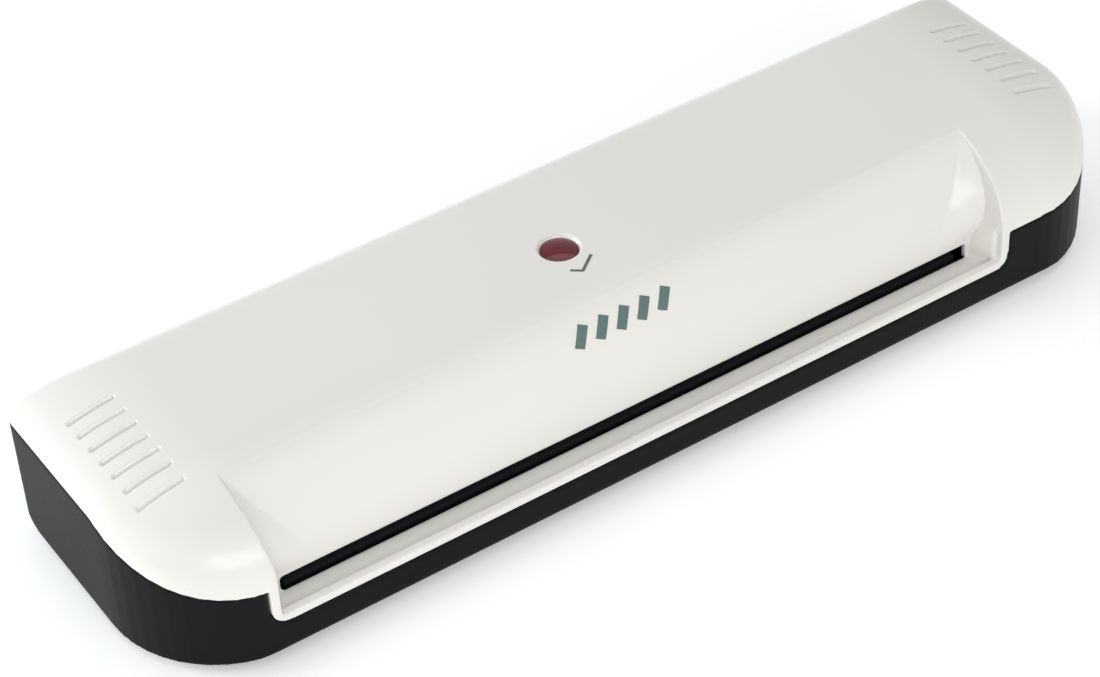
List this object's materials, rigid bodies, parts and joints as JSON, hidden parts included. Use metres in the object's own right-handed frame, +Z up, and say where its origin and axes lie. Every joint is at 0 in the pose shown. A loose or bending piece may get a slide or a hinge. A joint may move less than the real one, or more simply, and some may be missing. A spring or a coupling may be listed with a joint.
{
  "type": "pouch laminator",
  "caption": "Desktop pouch laminator with a white cover, recessed entry mouth, charcoal base, heated plates, geared pull rollers and a rear exit slot.",
  "frame": {"origin": "centre of the footprint, on the surface the feet stand on", "axes": "+X right as seen by someone feeding a pouch, +Y to the back, +Z up"},
  "size_m": [0.331, 0.09, 0.051],
  "materials": {
    "white_plastic": "satin",
    "black_plastic": "matte",
    "switch_plastic": "gloss",
    "red_lens": "gloss",
    "lamp_glass": "gloss",
    "light_nylon": "satin",
    "rubber": "matte",
    "zinc_steel": "satin",
    "bright_steel": "gloss",
    "silicone": "satin",
    "motor_can": "satin",
    "aluminium": "satin",
    "heater_mica": "satin",
    "black_heat_plastic": "matte",
    "ceramic": "satin",
    "board_green": "satin",
    "brass": "satin"
  },
  "bodies": {
    "machine": {"top_cover": "white_plastic", "base_shell": "black_plastic", "indicator_lens": "red_lens", "indicator_lamp": "lamp_glass", "lamp_holder": "light_nylon", "rubber_feet": "rubber", "case_screws": "zinc_steel", "left_side_plate": "zinc_steel", "right_side_plate": "zinc_steel", "tie_bars": "bright_steel", "tie_screws": "zinc_steel", "plate_screws": "zinc_steel", "roller_bushes": "light_nylon", "spring_caps": "light_nylon", "pressure_springs": "bright_steel", "gear_motor": "motor_can", "motor_bracket": "zinc_steel", "motor_standoffs": "bright_steel", "motor_screws": "zinc_steel", "lower_heater_plate": "aluminium", "upper_heater_plate": "aluminium", "lower_heater_strip": "heater_mica", "upper_heater_strip": "heater_mica", "heater_mounts": "black_heat_plastic", "thermostat": "ceramic", "thermal_fuse": "zinc_steel", "heat_shield": "zinc_steel", "entry_guide": "black_plastic", "exit_guide": "black_plastic", "circuit_board": "board_green", "board_parts": "black_plastic", "board_screws": "zinc_steel", "switch_housing": "black_plastic", "switch_terminals": "brass", "cord_gland": "black_plastic", "gland_nut": "black_plastic", "terminal_block": "light_nylon"},
    "lower_roller": {"lower_roller_shaft": "bright_steel", "lower_roller_sleeve": "silicone", "lower_roller_gear": "light_nylon"},
    "upper_roller": {"upper_roller_shaft": "bright_steel", "upper_roller_sleeve": "silicone", "upper_roller_gear": "light_nylon"},
    "motor_output": {"motor_shaft": "bright_steel", "motor_gear": "light_nylon"},
    "rocker": {"switch_rocker": "switch_plastic"}
  },
  "joints": [
    {"name": "lower_roller_spin", "type": "hinge", "parent": "machine", "child": "lower_roller", "pos_m": [0, 0.008, 0.011], "axis": [1, 0, 0], "continuous": true},
    {"name": "upper_roller_spin", "type": "hinge", "parent": "machine", "child": "upper_roller", "pos_m": [0, 0.008, 0.022], "axis": [1, 0, 0], "continuous": true},
    {"name": "motor_spin", "type": "hinge", "parent": "machine", "child": "motor_output", "pos_m": [0, -0.00801, 0.026], "axis": [1, 0, 0], "continuous": true},
    {"name": "rocker_tilt", "type": "hinge", "parent": "machine", "child": "rocker", "pos_m": [0.1435, 0.0386, 0.029], "axis": [1, 0, 0], "range_deg": [0, 16]}
  ],
  "couplings": [
    {"joint": "upper_roller_spin", "follows": "lower_roller_spin", "ratio": -1},
    {"joint": "motor_spin", "follows": "lower_roller_spin", "ratio": 0.5}
  ]
}
